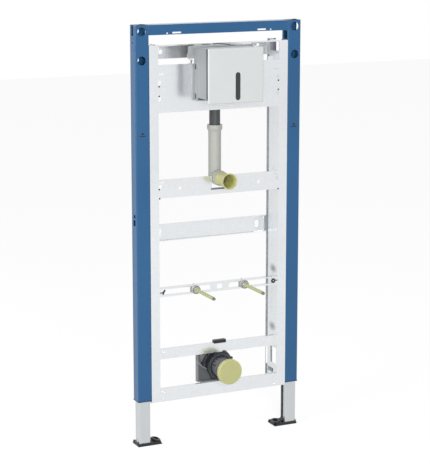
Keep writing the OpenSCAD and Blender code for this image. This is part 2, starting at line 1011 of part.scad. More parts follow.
// protective cap with a rounded front edge
module drain_cap() {
    r = cap_d / 2;
    color([0.77, 0.77, 0.56])
        placed()
            translate([0, 0, drain_z])
                rotate([90, 0, 0])
                    difference() {
                        rotate_extrude($fn = 96) {
                            translate([0, cap_y - 12])
                                square([r - 2, 12]);
                            translate([r - 3, cap_y - 12])
                                square([3, 10]);
                            translate([r - 2, cap_y - 2])
                                circle(r = 2, $fn = 32);
                        }
                        translate([0, 0, cap_y - 13])
                            cylinder(d = neck_d + gap, h = 8, $fn = 64);
                    }
}

// sleeve in the end of an upright that guides and brakes the foot tube
module foot_brake() {
    translate([post_x + post_t, post_t, post_z + 2])
        linear_extrude(brake_h)
            difference() {
                round_rect(post_w - 2 * post_t, post_d - 2 * post_t, post_r - post_t);
                translate([(post_w - tube_w) / 2 - post_t - gap, (post_d - tube_d) / 2 - post_t - gap])
                    round_rect(tube_w + 2 * gap, tube_d + 2 * gap, 2.5);
            }
}

module foot_brake_left() {
    color([0.05, 0.05, 0.06])
        placed()
            mirror([1, 0, 0])
                foot_brake();
}

module foot_brake_right() {
    color([0.05, 0.05, 0.06])
        placed()
            foot_brake();
}

// foot tube on the right side, an open channel
module foot_tube() {
    translate([tube_x - tube_w / 2, tube_y - tube_d / 2, foot_t])
        linear_extrude(post_z + tube_in - foot_t)
            difference() {
                round_rect(tube_w, tube_d, 2.5);
                translate([tube_t, tube_t])
                    square([tube_w - 2 * tube_t, tube_d - 2 * tube_t]);
                translate([-1, 11])
                    square([tube_t + 2, tube_d - 11 - tube_t]);
            }
}

module foot_tube_left() {
    color([0.80, 0.81, 0.82])
        placed()
            mirror([1, 0, 0])
                foot_tube();
}

module foot_tube_right() {
    color([0.80, 0.81, 0.82])
        placed()
            foot_tube();
}

// moulded foot with a stepped rim, a sloping boss and a plug in the tube
module foot_plate() {
    boss_x = half_w - 60;
    in_x = tube_x - tube_w / 2;
    in_y = tube_y - tube_d / 2;
    difference() {
        union() {
            translate([foot_x, 0.5, 0])
                linear_extrude(foot_t - 4)
                    round_rect(foot_l, foot_d, 2);
            translate([foot_x + 1, 1.5, 0])
                linear_extrude(foot_t)
                    round_rect(foot_l - 2, foot_d - 2, 2);
            // sloping boss
            difference() {
                union() {
                    translate([boss_x, 14.5, foot_t - 1])
                        cylinder(d = 21, h = 9, $fn = 48);
                    translate([boss_x, 27.5, foot_t - 1])
                        cylinder(d = 21, h = 9, $fn = 48);
                    translate([boss_x - 10.5, 14.5, foot_t - 1])
                        cube([21, 13, 9]);
                }
                translate([boss_x - 14, -1, foot_t + 2.5])
                    rotate([0, -8, 0])
                        cube([40, 50, 12]);
            }
            // plug in the tube and wedge in its open side
            translate([in_x + tube_t, in_y + tube_t, foot_t - 1])
                cube([tube_w - 2 * tube_t, tube_d - 2 * tube_t, 21]);
            translate([0, in_y + 11 + gap, 0])
                rotate([90, 0, 0])
                    mirror([0, 0, 1])
                        linear_extrude(tube_d - 11 - tube_t - 2 * gap)
                            polygon([[in_x - 6, foot_t - 1], [in_x - 6, foot_t + 2],
                                [in_x, foot_t + 9], [in_x + 4, foot_t + 9], [in_x + 4, foot_t - 1]]);
            // lugs on the outer edge
            for (y = [8, 34])
                translate([half_w - 1.5, y, 0])
                    cube([2, 7, foot_t + 3]);
        }
        translate([boss_x, 21, -1])
            cylinder(d = foot_hole_d, h = foot_t + 20, $fn = 48);
        // oval recess round the bolt hole
        translate([boss_x, 21, foot_t])
            linear_extrude(20) {
                square([13, 9], center = true);
                for (s = [-1, 1])
                    translate([0, s * 4.5])
                        circle(d = 13, $fn = 32);
            }
        // steps in the inner edge
        for (y = [-1, 35])
            translate([foot_x - 1, y, 3])
                cube([6, 9, foot_t]);
    }
}

module foot_plate_left() {
    color([0.12, 0.12, 0.13])
        placed()
            mirror([1, 0, 0])
                foot_plate();
}

module foot_plate_right() {
    color([0.12, 0.12, 0.13])
        placed()
            foot_plate();
}

upright_left();
upright_right();
top_rail();
inner_upright_left();
inner_upright_right();
control_plate();
rear_top_bar();
bend_plate();
rear_traverse();
rod_rail();
drain_bar_upper();
drain_bar_lower();
control_box();
protection_box();
cover_seal();
box_cover();
sensor_window();
flush_outlet();
flush_pipe();
inlet_sleeve();
bend_clip();
rod_anchor_left();
rod_anchor_right();
rod_nut_left();
rod_nut_right();
rod_left();
rod_right();
rod_sleeve_left();
rod_sleeve_right();
rail_clip_left();
rail_clip_right();
drain_bracket();
drain_clip();
drain_connector();
drain_ring();
drain_cap();
foot_brake_left();
foot_brake_right();
foot_tube_left();
foot_tube_right();
foot_plate_left();
foot_plate_right();
top_plug_left();
top_plug_right();
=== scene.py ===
import math

import bmesh
import bpy
from mathutils import Matrix, Vector


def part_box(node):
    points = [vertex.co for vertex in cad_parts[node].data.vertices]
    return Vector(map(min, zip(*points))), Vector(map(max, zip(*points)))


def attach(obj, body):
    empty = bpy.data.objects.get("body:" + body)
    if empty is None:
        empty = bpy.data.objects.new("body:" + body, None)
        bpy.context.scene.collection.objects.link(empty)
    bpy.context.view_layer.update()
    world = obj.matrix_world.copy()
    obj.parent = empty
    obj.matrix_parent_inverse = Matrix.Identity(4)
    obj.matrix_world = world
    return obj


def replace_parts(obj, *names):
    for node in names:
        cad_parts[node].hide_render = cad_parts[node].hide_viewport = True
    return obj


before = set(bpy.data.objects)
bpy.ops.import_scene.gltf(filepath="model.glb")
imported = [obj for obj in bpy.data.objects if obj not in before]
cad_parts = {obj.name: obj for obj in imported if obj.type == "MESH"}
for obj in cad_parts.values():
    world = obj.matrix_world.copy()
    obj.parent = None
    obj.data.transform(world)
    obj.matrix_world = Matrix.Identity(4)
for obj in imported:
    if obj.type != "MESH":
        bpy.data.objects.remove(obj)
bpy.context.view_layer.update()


# Camera
# A long lens in front of the frame, to its left and a little above its top. It is turned to the
# right and tilted down, without roll.
standpoint = (-1.8941, -4.0674, 0.4163)
focal_length = 125.12
turned_right = 25.21
tilted_down = 11.74
lens = bpy.data.cameras.new("camera")
lens.lens = focal_length
lens.sensor_width = 36
camera = bpy.data.objects.new("camera", lens)
camera.location = standpoint
camera.rotation_euler = (math.radians(90 - tilted_down), 0, math.radians(-turned_right))
bpy.context.scene.collection.objects.link(camera)
bpy.context.scene.camera = camera
bpy.context.scene.view_settings.view_transform = "Standard"


# Studio
# A pale floor under the feet and a white room round the frame, with two soft square lamps. The
# floor looks nearly white from above and still holds a faint shadow.
class Wire:
    """A socket's value; a sum written on it adds the Math node."""

    def __init__(self, net, socket):
        self.net = net
        self.socket = socket

    def math(self, operation, a, b):
        return self.net.node("Math", {"operation": operation}, {0: a, 1: b})

    def __add__(self, other):
        return self.math("ADD", self, other)

    def __sub__(self, other):
        return self.math("SUBTRACT", self, other)

    def __rsub__(self, other):
        return self.math("SUBTRACT", other, self)

    def __mul__(self, other):
        return self.math("MULTIPLY", self, other)

    __radd__ = __add__
    __rmul__ = __mul__


class Net:
    """The nodes of one material, or of the room."""

    def __init__(self, owner):
        owner.use_nodes = True
        self.owner = owner
        self.tree = owner.node_tree

    def node(self, kind, settings=None, sockets=None, output=0):
        """Add a node: its settings come first, then the values or links of its sockets."""
        made = self.tree.nodes.new("ShaderNode" + kind)
        for name, value in (settings or {}).items():
            if name == "stops":
                ramp = made.color_ramp.elements
                while len(ramp) < len(value):
                    ramp.new(0.5)
                for stop, (place, shade) in zip(ramp, value):
                    stop.position = place
                    stop.color = (shade, shade, shade, 1)
            else:
                setattr(made, name, value)
        for name, value in (sockets or {}).items():
            self.feed(made.inputs[name], value)
        return Wire(self, made.outputs[output])

    def feed(self, socket, value):
        if isinstance(value, Wire):
            self.tree.links.new(value.socket, socket)
        else:
            socket.default_value = value

    def show(self, shader):
        end = [n for n in self.tree.nodes if n.bl_idname.startswith("ShaderNodeOutput")][0]
        self.feed(end.inputs["Surface"], shader)


def seen_rays(net):
    """1 where the camera, a mirror or glass looks, 0 for the light that falls on things."""
    camera_ray = net.node("LightPath", output="Is Camera Ray")
    mirror_ray = net.node("LightPath", output="Is Glossy Ray")
    glass_ray = net.node("LightPath", output="Is Transmission Ray")
    return camera_ray.math("MINIMUM", camera_ray + mirror_ray + glass_ray, 1.0)


white = (1, 1, 1, 1)
room_light = 0.44
room = Net(bpy.data.worlds.new("room"))
bpy.context.scene.world = room.owner
brightness = seen_rays(room) * (1 - room_light) + room_light
room.show(room.node("Background", {}, {"Color": white, "Strength": brightness}))

floor_reach = 9
floor_grey = (0.72, 0.72, 0.72, 1)
shadow_grey = (0.30, 0.30, 0.30, 1)
floor_glow = 0.82
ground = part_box("foot_plate_left")[0].z
slab = bmesh.new()
level = Matrix.Translation((0, 0, ground))
bmesh.ops.create_grid(slab, x_segments=1, y_segments=1, size=floor_reach, matrix=level)
floor_shape = bpy.data.meshes.new("floor")
slab.to_mesh(floor_shape)
slab.free()
floor = bpy.data.objects.new("floor", floor_shape)
bpy.context.scene.collection.objects.link(floor)
floor_finish = Net(bpy.data.materials.new("floor"))
plain = floor_finish.node("BsdfDiffuse", {}, {"Color": floor_grey})
glow = floor_finish.node("Emission", {}, {"Color": white, "Strength": floor_glow})
shaded = floor_finish.node("BsdfDiffuse", {}, {"Color": shadow_grey})
lit = floor_finish.node("AddShader", {}, {0: glow, 1: shaded})
floor_finish.show(floor_finish.node("MixShader", {}, {0: seen_rays(floor_finish), 1: plain, 2: lit}))
floor_shape.materials.append(floor_finish.owner)

lamp_aim = Vector((0, 0, -0.45))
for name, place, size, power in (
    ("lamp_front", (-1.20, -4.30, 0.50), 1.0, 82),
    ("lamp_left", (-3.6, -0.8, 0.8), 2.4, 58),
):
    light = bpy.data.lights.new(name, "AREA")
    light.size = size
    light.energy = power
    lamp = bpy.data.objects.new(name, light)
    lamp.location = place
    lamp.rotation_euler = (lamp_aim - Vector(place)).to_track_quat("-Z", "Y").to_euler()
    bpy.context.scene.collection.objects.link(lamp)


# Painted uprights and top rail
# Two steel box sections and a U-shaped rail between them, welded at the corners and powder-coated
# blue. The coat is satin, with the faint orange peel that baking leaves, and is darker at cut edges.
def linear(red, green, blue):
    """A colour given in the 0 to 255 of a picture, for a shader's socket."""
    steps = [c / 255 for c in (red, green, blue)]
    return tuple(c / 12.92 if c < 0.04045 else ((c + 0.055) / 1.055) ** 2.4 for c in steps) + (1,)


class Finish(Net):
    """A material for one kind of surface, patterned in the frame's own coordinates."""

    def __init__(self, name, slot=None):
        super().__init__(bpy.data.materials.new(name))
        self.slot = slot or name
        self.shader = self.tree.nodes["Principled BSDF"]
        self.place = self.node("TexCoord", output="Object")

    def noise(self, scale, stretch=(1, 1, 1), detail=3.0):
        at = self.node("Mapping", {}, {"Vector": self.place, "Scale": stretch})
        sockets = {"Vector": at, "Scale": scale, "Detail": detail, "Roughness": 0.55}
        return self.node("TexNoise", {}, sockets)

    def spot(self, middle, reach):
        """1 at a place in millimetres, falling to 0 at its reach along each axis."""
        place = [c / 1000 for c in middle]
        offset = self.node("VectorMath", {"operation": "SUBTRACT"}, {0: self.place, 1: place})
        fall = [1000 / c for c in reach]
        scaled = self.node("VectorMath", {"operation": "MULTIPLY"}, {0: offset, 1: fall})
        away = self.node("VectorMath", {"operation": "LENGTH"}, {0: scaled}, output="Value")
        return away.math("MAXIMUM", 1 - away, 0.0)

    def blend(self, share, low, high):
        return self.node("Mix", {"data_type": "RGBA"}, {0: share, 6: low, 7: high}, output=2)

    def ramp(self, value, *stops):
        return self.node("ValToRGB", {"stops": stops}, {0: value})

    def bump(self, height, depth, strength):
        return self.node("Bump", {}, {"Strength": strength, "Distance": depth, "Height": height})

    def set(self, **sockets):
        for name, value in sockets.items():
            self.feed(self.shader.inputs[name.replace("_", " ")], value)

    def on(self, *nodes):
        for name in nodes:
            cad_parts[name].data.materials[0] = self.owner


def corners(node):
    """The lowest and highest corner of a solid of the frame, in millimetres."""
    return [[round(c * 1000, 2) for c in corner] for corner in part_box(node)]


def block(mesh, low, high, soft):
    """A bar between two corners in millimetres, with its edges softened."""
    size = [(b - a) / 1000 for a, b in zip(low, high)]
    middle = Matrix.Translation([(a + b) / 2000 for a, b in zip(low, high)])
    cube = bmesh.ops.create_cube(mesh, size=1, matrix=middle @ Matrix.Diagonal((*size, 1)))
    edges = list({edge for corner in cube["verts"] for edge in corner.link_edges})
    bmesh.ops.bevel(
        mesh, geom=edges, offset=soft / 1000, affect="EDGES", segments=2, profile=0.5, material=-1
    )


def twin_blocks(mesh, low, high, soft):
    """The same bar on the left, mirrored, and on the right."""
    block(mesh, (-high[0], *low[1:]), (-low[0], *high[1:]), soft)
    block(mesh, low, high, soft)


def bead(mesh, points, thick, sides=10):
    """A round bead, weld or wire along points in millimetres."""
    rings = []
    for i, point in enumerate(points):
        along = Vector(points[min(i + 1, len(points) - 1)]) - Vector(points[max(i - 1, 0)])
        turn = along.to_track_quat("Z", "Y").to_matrix().to_4x4()
        place = Matrix.Translation(Vector(point) / 1000) @ turn
        capped = i in (0, len(points) - 1)
        ring = bmesh.ops.create_circle(
            mesh, cap_ends=capped, segments=sides, radius=thick / 2000, matrix=place
        )["verts"]
        rings.append([edge for edge in mesh.edges if edge.verts[0] in ring and edge.verts[1] in ring])
    for pair in zip(rings, rings[1:]):
        bmesh.ops.bridge_loops(mesh, edges=pair[0] + pair[1])


def piece(name, mesh, finish, smooth=True):
    """Give a finished mesh its material and the body it moves with."""
    bmesh.ops.recalc_face_normals(mesh, faces=mesh.faces[:])
    for face in mesh.faces:
        face.smooth = smooth
    shape = bpy.data.meshes.new(name)
    mesh.to_mesh(shape)
    mesh.free()
    shape.materials.append(finish.owner)
    made = bpy.data.objects.new(name, shape)
    bpy.context.scene.collection.objects.link(made)
    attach(made, "frame")
    return made


paint = Finish("blue_paint")
cloud = paint.noise(6)
peel = paint.noise(650, detail=2)
paint.set(
    Base_Color=paint.blend(cloud, linear(26, 88, 137), linear(36, 98, 147)),
    Roughness=cloud * 0.10 + 0.28,
    Specular_IOR_Level=0.5,
    Sheen_Weight=0.45,
    Sheen_Roughness=0.25,
    Normal=paint.bump(peel, 0.0004, 0.35),
)
paint.on("upright_left", "upright_right", "top_rail")

(post_inner, front, post_bottom), (post_outer, post_back, _) = corners("upright_right")
# weld beads where the ends of the rail meet the uprights
weld_x = post_inner + 0.9
weld_y = front + 1.3
weld_heights = range(54, 82, 3)
welds = bmesh.new()
for side in (-1, 1):
    bead(welds, [(side * weld_x, weld_y, z) for z in weld_heights], thick=2.8)
piece("weld_seams", welds, paint)

# the cut lower ends of the uprights
edge = Finish("cut_edge", "blue_paint")
edge.set(
    Base_Color=edge.blend(edge.noise(50), linear(20, 44, 92), linear(30, 56, 104)),
    Roughness=edge.noise(900) * 0.10 + 0.40,
)
rim_wall = 0.6
rim_soft = 0.15
rim_inner = post_inner - 0.1
rim_outer = post_outer + 0.2
rim_front = front - 0.2
rim_back = post_back + 0.2
rim_low = post_bottom - 0.3
rim_high = post_bottom + 2.5
rims = bmesh.new()
for y in (rim_front, rim_back - rim_wall):
    twin_blocks(rims, (rim_inner, y, rim_low), (rim_outer, y + rim_wall, rim_high), rim_soft)
for x in (rim_inner, rim_outer - rim_wall):
    twin_blocks(rims, (x, rim_front, rim_low), (x + rim_wall, rim_back, rim_high), rim_soft)
piece("post_rims", rims, edge, smooth=False)


# Top plugs and level marks
# Black moulded plugs are pressed into the open tops of the uprights, each with a lug behind the
# upper fixing hole. The level marks, a dot over a short bar, are printed on the paint in black.
def lathe(mesh, middle, profile, steps):
    """A ring or pin turned round a line along y; its profile is radius and depth in millimetres."""
    x, y, z = [c / 1000 for c in middle]
    outline = [mesh.verts.new((x + radius / 1000, y + depth / 1000, z)) for radius, depth in profile]
    edges = [mesh.edges.new(pair) for pair in zip(outline, outline[1:] + outline[:1])]
    bmesh.ops.spin(
        mesh,
        geom=outline + edges,
        cent=(x, 0, z),
        axis=(0, 1, 0),
        angle=math.tau,
        steps=steps,
        use_merge=True,
    )


black = Finish("clip_black")
grain = black.noise(1800, detail=2)
black.set(
    Base_Color=black.blend(black.noise(40), linear(18, 20, 30), linear(30, 32, 42)),
    Roughness=grain * 0.15 + 0.36,
    Normal=black.bump(grain, 0.0002, 0.4),
)
black.on("top_plug_left", "top_plug_right")

mark_places = (-230.2, 230.9)
dot_z = -210.6
dot_profile = [(0.1, -0.3), (3.2, -0.3), (3.4, 0.2), (0.1, 0.2)]
bar_reach = 8
bar_low = -218.4
bar_high = -215.9
ink_front = front - 0.3
ink_back = front + 0.2
marks = bmesh.new()
for x in mark_places:
    lathe(marks, (x, front, dot_z), dot_profile, steps=24)
    block(marks, (x - bar_reach, ink_front, bar_low), (x + bar_reach, ink_back, bar_high), soft=0.1)
piece("level_marks", marks, black, smooth=False)


# Zinc inner frame
# Uprights and cross bars are folded from zinc-coated steel sheet and spot-welded to each other; small
# black discs sit beside holes at the control plate and the bend plate. The zinc is bright, with faint
# rolling lines and a soft cloud of crystals; it is rougher where the rear bar meets the webs and is
# painted darker there on the right as shade, and round the dimples in the webs it is rougher and
# painted darker as the dimples' shade.
web = corners("inner_upright_right")[0][0]
bar_corner_reach = (55.6, 55.6, 55.6)
dimple_reach = (20, 26.3, 16.1)
dimple_places = [(side * web, y, z) for side in (-1, 1) for y, z in ((-48, -628), (-44, -800))]
zinc = Finish("zinc_sheet")
spangle = zinc.node(
    "TexVoronoi", {"feature": "SMOOTH_F1"}, {"Vector": zinc.place, "Scale": 130}, output="Distance"
)
rolled = zinc.noise(60, stretch=(1, 1, 22), detail=2)
cloud = zinc.noise(7)
# soft spots where the rear bar meets the webs: rougher on both sides, and painted darker on the right as
# shade
bar_corner_dull_and_shade = [zinc.spot((side * (web - 15), -2, -4), bar_corner_reach) for side in (-1, 1)]
# soft spots round the dimples in the webs, painted darker as the dimples' shade and made rougher
dimple_shade = sum(zinc.spot(place, dimple_reach) for place in dimple_places) * 0.8
zinc.set(
    Base_Color=zinc.blend(
        dimple_shade + bar_corner_dull_and_shade[1] * 0.28,
        zinc.blend(cloud * 0.6 + spangle * 0.4, linear(222, 225, 228), linear(238, 240, 242)),
        linear(96, 99, 98),
    ),
    Metallic=0.70,
    Roughness=rolled * 0.08 + cloud * 0.04 + dimple_shade * 0.25 + sum(bar_corner_dull_and_shade) * 0.6 + 0.13,
    Normal=zinc.bump(spangle * 0.5 + rolled * 0.5, 0.00015, 0.06),
)
zinc.on("inner_upright_left", "inner_upright_right", "control_plate", "rear_top_bar", "bend_plate")
zinc.on("rear_traverse", "rod_rail", "drain_bar_upper", "drain_bar_lower")

# the bent end flanges of the rear bar, and the closed ends of the beads in the webs
rear_bar_low, rear_bar_high = corners("rear_top_bar")
flange_low = (web - 0.1, -14.9, rear_bar_low[2])
flange_high = (web + 0.7, -1.9, rear_bar_high[2])
bead_end_low = (web - 0.4, -44, -642)
bead_end_high = (web + 0.3, -36, -634)
ends = bmesh.new()
twin_blocks(ends, flange_low, flange_high, soft=0.2)
twin_blocks(ends, bead_end_low, bead_end_high, soft=0.3)
piece("bar_ends", ends, zinc, smooth=False)

# a thin sheet on the right web, behind the window of the control plate, painted from dark violet
# to light grey as the shade and the blue upright's reflection that fall there
shade_sheet_low = (web - 0.9, -56, -4.5)
shade_sheet_high = (web + 0.1, -19, 22)
web_shade = Finish("pad_violet", "zinc_sheet")
depth = web_shade.node("SeparateXYZ", {}, {0: web_shade.place}, output=1)
share = (depth - shade_sheet_low[1] / 1000) * (1000 / (shade_sheet_high[1] - shade_sheet_low[1]))
fade = web_shade.ramp(share, (0, 0), (1, 1))
web_shade.set(
    Base_Color=web_shade.blend(fade, linear(84, 82, 118), linear(176, 178, 184)),
    Roughness=web_shade.noise(900) * 0.10 + 0.36,
)
web_shade_sheet = bmesh.new()
block(web_shade_sheet, shade_sheet_low, shade_sheet_high, soft=0.3)
piece("web_shade_sheet", web_shade_sheet, web_shade, smooth=False)

# small black discs beside holes at the edges of the control plate and the bend plate
disc_profile = [(0.1, -1), (1.6, -1), (2.3, -0.5), (2.4, 0.2), (0.1, 0.2)]
left_discs = ((-181, -85), (-181, -111.4), (-182.6, -366.5), (-181.6, -392))
right_discs = ((181, -84.4), (180.6, -110), (182.5, -391.6))
black_discs = bmesh.new()
for x, z in left_discs + right_discs:
    lathe(black_discs, (x, front, z), disc_profile, steps=20)
piece("plate_discs", black_discs, black)

# spot welds, each a flat nugget with a raised ring
nugget_profile = [(0.1, -0.15), (2.2, -0.15), (2.6, -0.45), (3.2, -0.1), (3.4, 0.3), (0.1, 0.3)]
nugget_x = web - 11
rear_face = -2
rear_nuggets = [(rear_face, z) for z in (-6, 6, -486, -520)]
front_nuggets = [(front, z) for z in (-826, -841, -944, -962)]
nuggets = bmesh.new()
for side in (-1, 1):
    for y, z in rear_nuggets + front_nuggets:
        lathe(nuggets, (side * nugget_x, y, z), nugget_profile, steps=24)
piece("spot_welds", nuggets, zinc)


# Flush box
# A moulded plastic box is set through the control plate and carries a thin collar with a seal,
# painted dark blue as shade in the gap behind a white satin cover with a glossy sensor window. The
# box is a cooler grey than the cover and has snap-on ears; a dark strip at its sides is painted shade,
# a thin light sheet on top is painted light, and the box is clipped in at the left notch.
shell = Finish("box_plastic")
grain = shell.noise(1400, detail=2)
shell.set(
    Base_Color=shell.blend(shell.noise(12), linear(160, 164, 166), linear(172, 176, 178)),
    Roughness=grain * 0.12 + 0.42,
    Normal=shell.bump(grain, 0.0002, 0.3),
)
shell.on("control_box", "protection_box")

# snap ears beside the collar, and strips along its upper edges
box_side = corners("control_box")[1][0]
collar_low, collar_high = corners("protection_box")
collar_side = collar_high[0]
ear_low = (collar_side + 1.1, -77.9, -1.6)
ear_high = (box_side + 0.2, -75.4, 19.4)
side_strip_low = (collar_side - 0.1, -154.5, 15.4)
side_strip_high = (collar_side + 1.1, -96, 17.6)
ears = bmesh.new()
twin_blocks(ears, ear_low, ear_high, soft=0.6)
twin_blocks(ears, side_strip_low, side_strip_high, soft=0.5)
piece("box_ears", ears, shell)

# a dark grey strip beside each side of the box behind the plate, and an arch over the left ear:
# painted shade that the box and its ear cast behind them
painted_shade = Finish("liner_grey", "clip_grey")
painted_shade.set(
    Base_Color=painted_shade.blend(painted_shade.noise(40), linear(78, 80, 76), linear(92, 94, 90)),
    Roughness=painted_shade.noise(900) * 0.12 + 0.42,
)
shade_strip_low = (box_side + 0.7, front - 0.5, -1)
shade_strip_high = (box_side + 2.3, -53, 23.5)
shade_arch = ((98.5, 4), (98.5, 16), (97.6, 19.8), (95.4, 22), (92, 23.2), (86, 23.6), (80, 23.2))
shade_strips = bmesh.new()
twin_blocks(shade_strips, shade_strip_low, shade_strip_high, soft=0.5)
bead(shade_strips, [(-x, front - 1, z) for x, z in shade_arch], thick=3.2)
piece("box_side_shade", shade_strips, painted_shade)

# low dark ribs on the plate's upper edge, over the box: painted shade and reflection of the box top
streak_y = front - 0.4
shade_streak_routes = (
    (2.6, ((-20, 24.1), (-8, 24.8), (4, 24), (14, 22.4), (30, 20.6))),
    (1.8, ((28, 20.8), (37, 18.6), (49, 17.6))),
    (2.2, ((-54, 23.4), (-42, 23.8), (-31, 23.2))),
)
shade_streaks = bmesh.new()
for thick, route in shade_streak_routes:
    bead(shade_streaks, [(x, streak_y, z) for x, z in route], thick)
piece("plate_shade_streaks", shade_streaks, painted_shade)

# a ring and a catch in the notch left of the box
notch_middle = (-88, front, -20.5)
notch_profile = [(5.4, -2.2), (6.6, -2.2), (6.6, 0.6), (5.4, 0.6)]
ring = bmesh.new()
lathe(ring, notch_middle, notch_profile, steps=28)
piece("notch_ring", ring, zinc)
catch_low = (-88.2, front - 2.6, -24.5)
catch_high = (-84.8, front + 0.6, -17)
catch = bmesh.new()
block(catch, catch_low, catch_high, soft=1.4)
piece("notch_catch", catch, black)

cover = Finish("cover_plastic")
grain = cover.noise(1600, detail=2)
cover.set(
    Base_Color=cover.blend(cover.noise(8), linear(216, 220, 220), linear(222, 226, 226)),
    Roughness=grain * 0.10 + 0.34,
    Normal=cover.bump(grain, 0.0002, 0.25),
)
cover.on("box_cover")

# a thin sheet of the cover's white on the collar, painted light so the box top and its reflection
# in the plate look lighter
lit_top_side = collar_side - 1
lit_top_front = collar_low[1] + 0.6
lit_top_back = collar_high[1] - 0.6
lit_top_low = collar_high[2] - 0.1
lit_top_high = lit_top_low + 0.7
lit_top = bmesh.new()
block(lit_top, (-lit_top_side, lit_top_front, lit_top_low), (lit_top_side, lit_top_back, lit_top_high), soft=0.3)
piece("box_lit_top", lit_top, cover, smooth=False)

glass = Finish("sensor_dark")
glass.set(
    Base_Color=glass.blend(glass.noise(60), linear(30, 32, 36), linear(40, 42, 46)),
    Roughness=glass.noise(300) * 0.06 + 0.10,
    Coat_Weight=0.4,
)
glass.on("sensor_window")

# the seal is coloured dark blue as painted shade of the deep gap between the collar and the cover
seal = Finish("seal")
seal.set(
    Base_Color=seal.blend(seal.noise(60), linear(28, 36, 52), linear(40, 48, 64)),
    Roughness=seal.noise(900) * 0.12 + 0.40,
)
seal.on("cover_seal")


# Flush pipe
# A grey extruded plastic pipe with a sharp elbow is pushed over a dark outlet under the box. The
# mouth of the elbow holds a yellow-green protective sleeve, and a grey strip is clipped into the
# notch of the bend plate under it.
outlet = Finish("outlet_dark")
outlet.set(
    Base_Color=outlet.blend(outlet.noise(30), linear(60, 64, 64), linear(74, 78, 78)),
    Roughness=outlet.noise(900) * 0.12 + 0.38,
)
outlet.on("flush_outlet")

pipe = Finish("pipe_grey")
drawn = pipe.noise(40, stretch=(9, 9, 1))
pipe.set(
    Base_Color=pipe.blend(drawn, linear(180, 181, 175), linear(192, 193, 187)),
    Roughness=drawn * 0.10 + 0.36,
    Normal=pipe.bump(drawn, 0.0002, 0.2),
)
pipe.on("flush_pipe")

yellow = Finish("cap_yellow")
grain = yellow.noise(900, detail=2)
yellow.set(
    Base_Color=yellow.blend(yellow.noise(25), linear(196, 196, 138), linear(208, 208, 152)),
    Roughness=grain * 0.12 + 0.40,
    Normal=yellow.bump(grain, 0.0002, 0.3),
    Subsurface_Weight=0.5,
    Subsurface_Radius=(1, 1, 0.45),
    Subsurface_Scale=0.012,
)
yellow.on("inlet_sleeve")

strip = Finish("clip_grey")
strip.set(
    Base_Color=strip.blend(strip.noise(60), linear(104, 105, 108), linear(118, 119, 122)),
    Roughness=strip.noise(900) * 0.12 + 0.38,
)
strip.on("bend_clip")


# Fixing rods
# Two threaded steel rods stand in zinc anchors and round nuts on the slotted rail. Thin yellow-green
# sleeves with a small flange are pushed on to keep the thread clean, and only the tips are bare.
bright = Finish("nut_zinc")
turned = bright.noise(300, stretch=(1, 6, 1))
bright.set(
    Base_Color=bright.blend(turned, linear(190, 191, 190), linear(206, 207, 206)),
    Metallic=0.65,
    Roughness=turned * 0.12 + 0.38,
    Normal=bright.bump(turned, 0.0002, 0.2),
)
bright.on("rod_anchor_left", "rod_anchor_right", "rod_nut_left", "rod_nut_right")

thin = Finish("sleeve_yellow", "cap_yellow")
grain = thin.noise(500, detail=2)
thin.set(
    Base_Color=thin.blend(thin.noise(30), linear(182, 188, 132), linear(194, 200, 146)),
    Roughness=grain * 0.10 + 0.40,
    Sheen_Weight=0.2,
    Sheen_Roughness=0.4,
)
thin.on("rod_sleeve_left", "rod_sleeve_right")

# the flange at the root of each sleeve, and a grey ring on each nut painted as the shade in its groove
rod_x = 75.2
rod_z = -657.5
sleeve_root = corners("rod_sleeve_right")[1][1]
flange_profile = [(5.2, -1.6), (6.6, -1.6), (7.1, -1.1), (7.1, 0.1), (5.2, 0.1)]
nut_face = corners("rod_nut_right")[0][1]
groove_shade_profile = [(9.3, 3.3), (10.6, 3.3), (11.2, 3.8), (11.2, 4.8), (9.3, 4.8)]
flanges, groove_shades = bmesh.new(), bmesh.new()
for x in (-rod_x, rod_x):
    lathe(flanges, (x, sleeve_root, rod_z), flange_profile, steps=36)
    lathe(groove_shades, (x, nut_face, rod_z), groove_shade_profile, steps=36)
piece("sleeve_flanges", flanges, thin)
piece("nut_groove_shades", groove_shades, strip)

steel = Finish("rod_steel")
turned = steel.noise(200, stretch=(1, 8, 1))
steel.set(
    Base_Color=steel.blend(turned, linear(118, 122, 100), linear(140, 144, 120)),
    Metallic=0.9,
    Roughness=turned * 0.16 + 0.30,
)
steel.on("rod_left", "rod_right")

# the last turns of the thread on the bare tips
first_turn = corners("rod_right")[0][1] + 1.1
pitch = 1.25
turn_profile = [(3.9, 0), (4.3, 0.5), (4.3, 0.7), (3.9, 1.2)]
threads = bmesh.new()
for x in (-rod_x, rod_x):
    for turn in range(4):
        lathe(threads, (x, first_turn + turn * pitch, rod_z), turn_profile, steps=32)
piece("rod_threads", threads, steel)


# Clips of the rod rail
# Black moulded clips hold the ends of the slotted rail to the webs. The left one shows a forked
# wing on a stem with a snap pin, the right one a ring with a short stem; both are pressed in.
wing_y = front + 1.4
stem_z = -657.6
wing_route = ((-173.2, -662.6), (-171.6, -658), (-169.4, -654), (-166.6, -650.4))
stem = ((-182.8, wing_y, stem_z), (-177.4, wing_y, stem_z))
thin_stem = ((-178, wing_y + 1.2, stem_z), (-171, wing_y + 1.2, stem_z))
snap_pin = ((-171, front, stem_z), (-171, front + 9, stem_z))
wing = bmesh.new()
bead(wing, [(x, wing_y, z) for x, z in wing_route], thick=5)
bead(wing, stem, thick=4)
bead(wing, thin_stem, thick=1.6)
bead(wing, snap_pin, thick=3)
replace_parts(piece("rail_wing_left", wing, black), "rail_clip_left")

